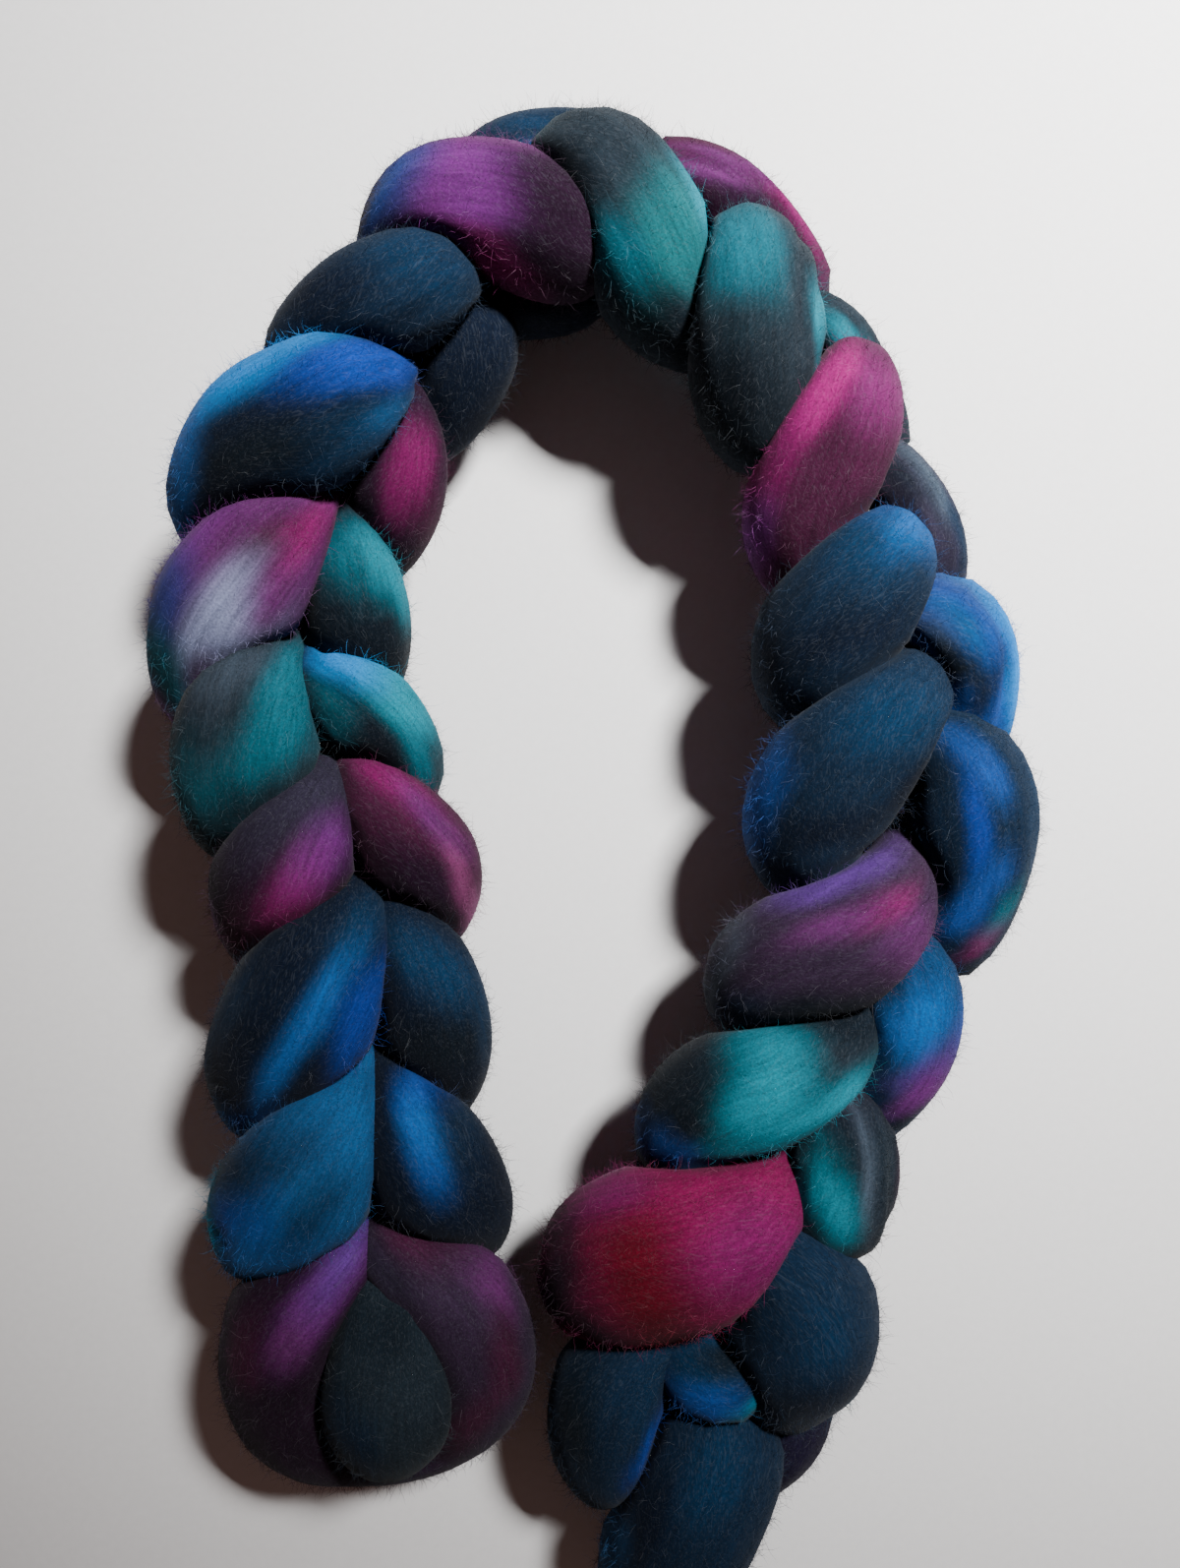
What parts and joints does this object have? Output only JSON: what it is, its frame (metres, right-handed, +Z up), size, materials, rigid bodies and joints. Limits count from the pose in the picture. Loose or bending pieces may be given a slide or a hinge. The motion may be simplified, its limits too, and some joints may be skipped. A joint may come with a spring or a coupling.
{
  "type": "braid of wool roving",
  "caption": "Chained length of hand-dyed wool roving, laid down in an arch with both ends towards the viewer.",
  "frame": {"origin": "middle of the bounding box's footprint, on the surface that the braid lies on", "axes": "+Z up off the surface, +Y from the two ends towards the top of the arch, +X from the arm that ends in the open loop towards the arm that starts with the tail"},
  "size_m": [0.2448, 0.4498, 0.0751],
  "materials": {
    "dyed_wool": "soft matte combed wool, hand dyed"
  },
  "bodies": {
    "root": {"roving_braid": "dyed_wool"}
  },
  "joints": []
}
